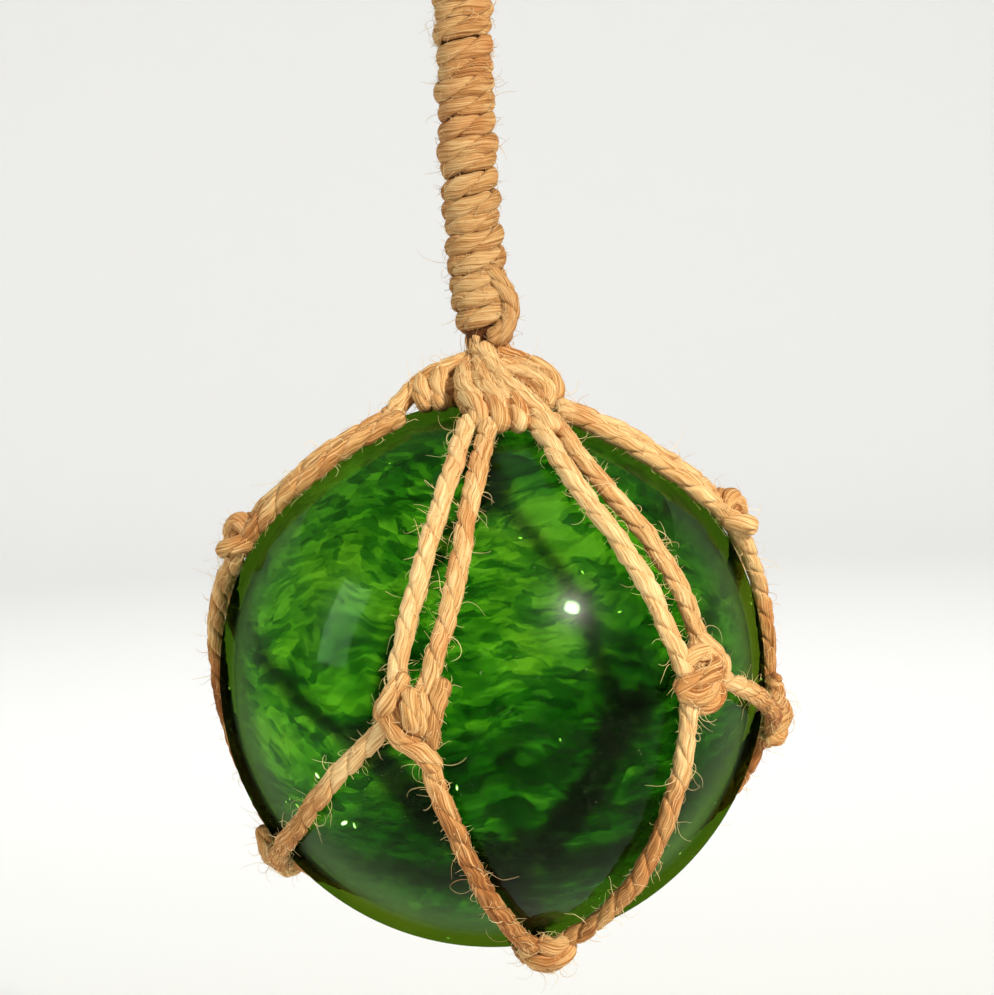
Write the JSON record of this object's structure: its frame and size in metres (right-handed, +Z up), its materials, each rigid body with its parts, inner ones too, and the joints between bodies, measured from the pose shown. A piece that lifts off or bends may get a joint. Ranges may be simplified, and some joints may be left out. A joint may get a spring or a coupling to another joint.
{
  "type": "glass float ball",
  "caption": "Sealed green glass ball held in a knotted jute twine net, hung from a rope served with twine that ends in a hanging loop.",
  "frame": {"origin": "the point inside the top loop where a hook bears, plumb above the middle of the ball", "axes": "+Z up along the hanging rope, +X to the right of the front, +Y to the back"},
  "size_m": [0.1345, 0.1302, 0.2843],
  "materials": {
    "green_glass": "clear deep green, smooth, lightly dusty, with uneven colour",
    "jute_twine": "soft two-ply jute, golden straw colour, with loose fibres",
    "jute_serving": "jute twine wound tightly round the rope, golden straw colour, fibrous"
  },
  "bodies": {
    "root": {"glass_ball": "green_glass", "crown": "jute_twine", "base_gather": "jute_twine", "net_cord_1_left": "jute_twine", "net_cord_1_right": "jute_twine", "net_cord_2_left": "jute_twine", "net_cord_2_right": "jute_twine", "net_cord_3_left": "jute_twine", "net_cord_3_right": "jute_twine", "net_cord_4_left": "jute_twine", "net_cord_4_right": "jute_twine", "net_cord_5_left": "jute_twine", "net_cord_5_right": "jute_twine", "hanger": "jute_serving", "hanging_loop": "jute_twine"}
  },
  "joints": []
}
